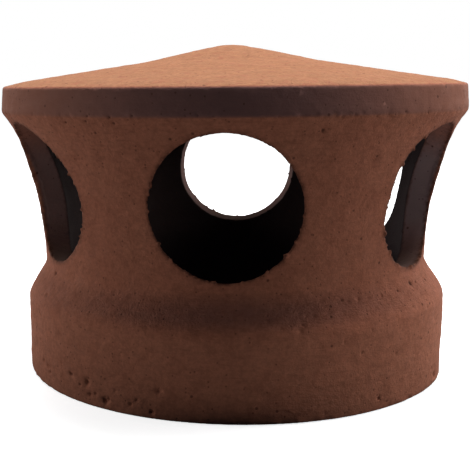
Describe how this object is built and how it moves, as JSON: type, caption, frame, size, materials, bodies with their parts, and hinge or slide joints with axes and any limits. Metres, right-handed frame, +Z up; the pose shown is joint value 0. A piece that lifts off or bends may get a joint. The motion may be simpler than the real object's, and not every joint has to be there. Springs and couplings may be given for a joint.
{
  "type": "roof vent lantern",
  "caption": "Hollow terracotta roof vent lantern: an open collar below, a flared waist pierced by round vent holes and a shallow conical cap.",
  "frame": {"origin": "centre of the collar's underside, on the plane the lantern stands on", "axes": "+Z up along the lantern's axis, -Y towards the vent hole that faces front"},
  "size_m": [0.196, 0.196, 0.1375],
  "materials": {
    "terracotta": "matte"
  },
  "bodies": {
    "root": {"vent_lantern": "terracotta"}
  },
  "joints": []
}
